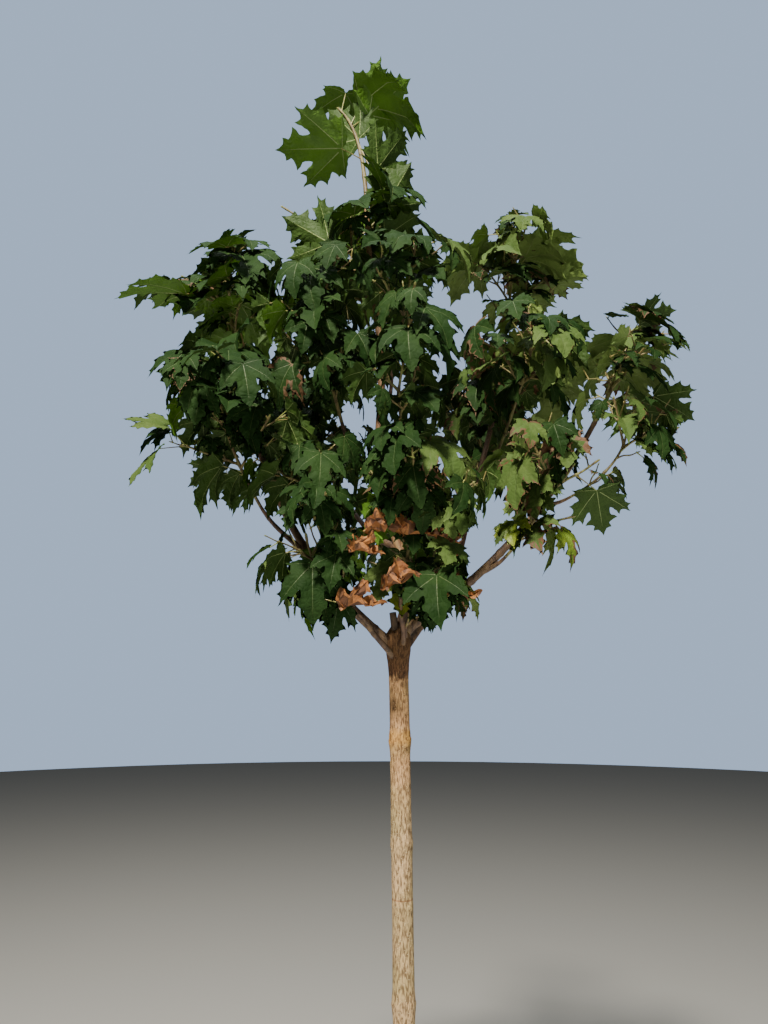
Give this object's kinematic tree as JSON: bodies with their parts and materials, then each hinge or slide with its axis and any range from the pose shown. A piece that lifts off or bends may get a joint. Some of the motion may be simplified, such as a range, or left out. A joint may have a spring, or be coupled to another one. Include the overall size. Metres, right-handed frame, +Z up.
{
  "type": "young maple tree",
  "caption": "Young broad-leaved tree rooted in the ground: clear straight trunk, knuckle, spreading boughs and a crown of lobed leaves in separate masses.",
  "frame": {"origin": "middle of the flat cut where the trunk leaves the ground", "axes": "+Z up along the trunk; -Y towards the side that the picture shows; +X to the right of that side"},
  "size_m": [1.0388, 0.7314, 2.7841],
  "materials": {
    "bark": "matte ridged young bark",
    "shoot": "smooth satin young bark",
    "leaf": "waxy leaf, glossy above and paler below"
  },
  "bodies": {
    "root": {"trunk": "bark", "leader": "shoot", "collar_bough": "shoot", "left_top_bough": "shoot", "left_outer_bough": "shoot", "left_inner_bough": "shoot", "left_low_bough": "shoot", "skirt_bough": "shoot", "front_high_bough": "shoot", "middle_bough": "shoot", "front_low_bough": "shoot", "knuckle_bough": "shoot", "right_tall_bough": "shoot", "right_mid_bough": "shoot", "right_top_bough": "shoot", "right_outer_bough": "shoot", "right_low_bough": "shoot", "back_left_bough": "shoot", "back_right_bough": "shoot", "back_low_bough": "shoot", "tip_leaves": "leaf", "collar_leaves": "leaf", "left_top_leaves": "leaf", "left_outer_leaves": "leaf", "left_inner_leaves": "leaf", "left_low_leaves": "leaf", "skirt_leaves": "leaf", "front_high_leaves": "leaf", "middle_leaves": "leaf", "front_low_leaves": "leaf", "knuckle_leaves": "leaf", "right_tall_leaves": "leaf", "right_mid_leaves": "leaf", "right_top_leaves": "leaf", "right_outer_leaves": "leaf", "right_low_leaves": "leaf", "back_left_leaves": "leaf", "back_right_leaves": "leaf", "back_low_leaves": "leaf"}
  },
  "joints": []
}
